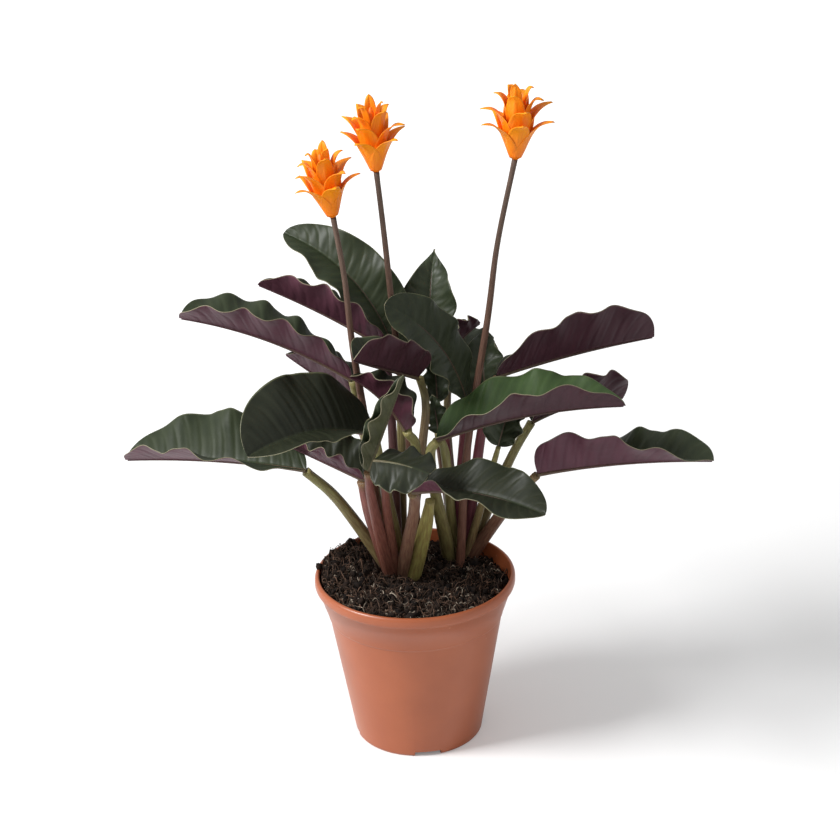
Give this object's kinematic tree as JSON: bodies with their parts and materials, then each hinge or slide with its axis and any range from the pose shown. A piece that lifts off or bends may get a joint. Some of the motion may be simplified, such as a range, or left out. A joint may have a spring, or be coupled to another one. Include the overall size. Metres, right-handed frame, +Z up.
{
  "type": "potted flowering houseplant",
  "caption": "Eternal flame calathea with dark, wavy-edged leaves and orange flower heads on slim stems, in a round terracotta-coloured plastic nursery pot.",
  "frame": {"origin": "on the floor under the pot's axis", "axes": "+Z up along the pot's axis, -Y towards the viewer of the picture"},
  "size_m": [0.3467, 0.1899, 0.4054],
  "materials": {
    "pot_plastic": "satin",
    "soil": "rough",
    "petiole": "satin",
    "flower_stem": "satin",
    "bract": "satin",
    "leaf": "satin"
  },
  "bodies": {
    "root": {"pot": "pot_plastic", "soil": "soil", "petioles_left": "petiole", "petioles_right": "petiole", "flower_stem_left": "flower_stem", "flower_stem_middle": "flower_stem", "flower_stem_right": "flower_stem", "flower_head_left": "bract", "flower_head_middle": "bract", "flower_head_right": "bract", "blade_low_left": "leaf", "blade_front_left": "leaf", "blade_long_left": "leaf", "blade_upper_left": "leaf", "blade_tall_left": "leaf", "blade_crest": "leaf", "blade_arching": "leaf", "blade_cup": "leaf", "blade_upper_right": "leaf", "blade_middle_right": "leaf", "blade_low_right": "leaf", "blade_behind_right": "leaf", "blade_front_right": "leaf", "blade_young_curled": "leaf", "blade_young_lobed": "leaf", "blade_under_left": "leaf", "blade_shade_left": "leaf", "blade_back_right": "leaf", "blade_small_back": "leaf", "blade_small_striped": "leaf", "blade_inner_narrow": "leaf", "blade_inner_left": "leaf", "blade_inner_small": "leaf", "blade_back": "leaf"}
  },
  "joints": []
}
